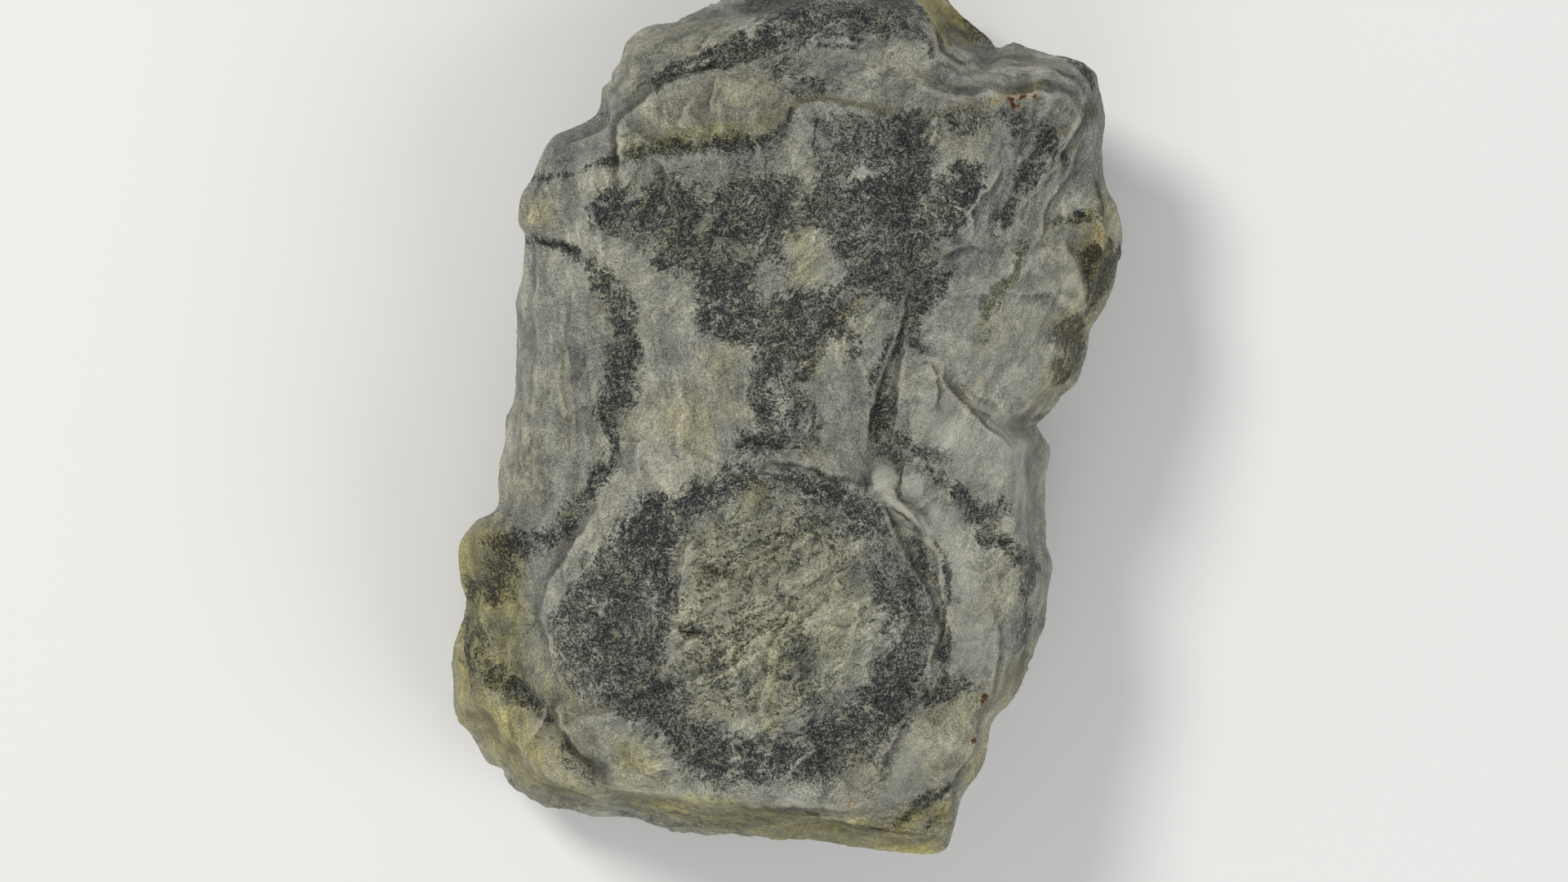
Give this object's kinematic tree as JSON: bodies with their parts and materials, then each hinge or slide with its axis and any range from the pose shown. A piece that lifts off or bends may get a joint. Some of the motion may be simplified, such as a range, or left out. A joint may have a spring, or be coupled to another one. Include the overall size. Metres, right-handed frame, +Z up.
{
  "type": "folded schist",
  "caption": "Hand specimen of folded schist with a domed, banded broken face, ledged sides and a flat cleavage plane that it lies on.",
  "frame": {"origin": "middle of the specimen's bounding box in plan, on the surface that it lies on", "axes": "+Z up from the flat cleavage plane to the broken face, +Y along the specimen to its narrow end, +X to its right side seen from above with +Y away"},
  "size_m": [0.115, 0.1508, 0.0591],
  "materials": {
    "schist": null
  },
  "bodies": {
    "root": {"folded_schist": "schist"}
  },
  "joints": []
}
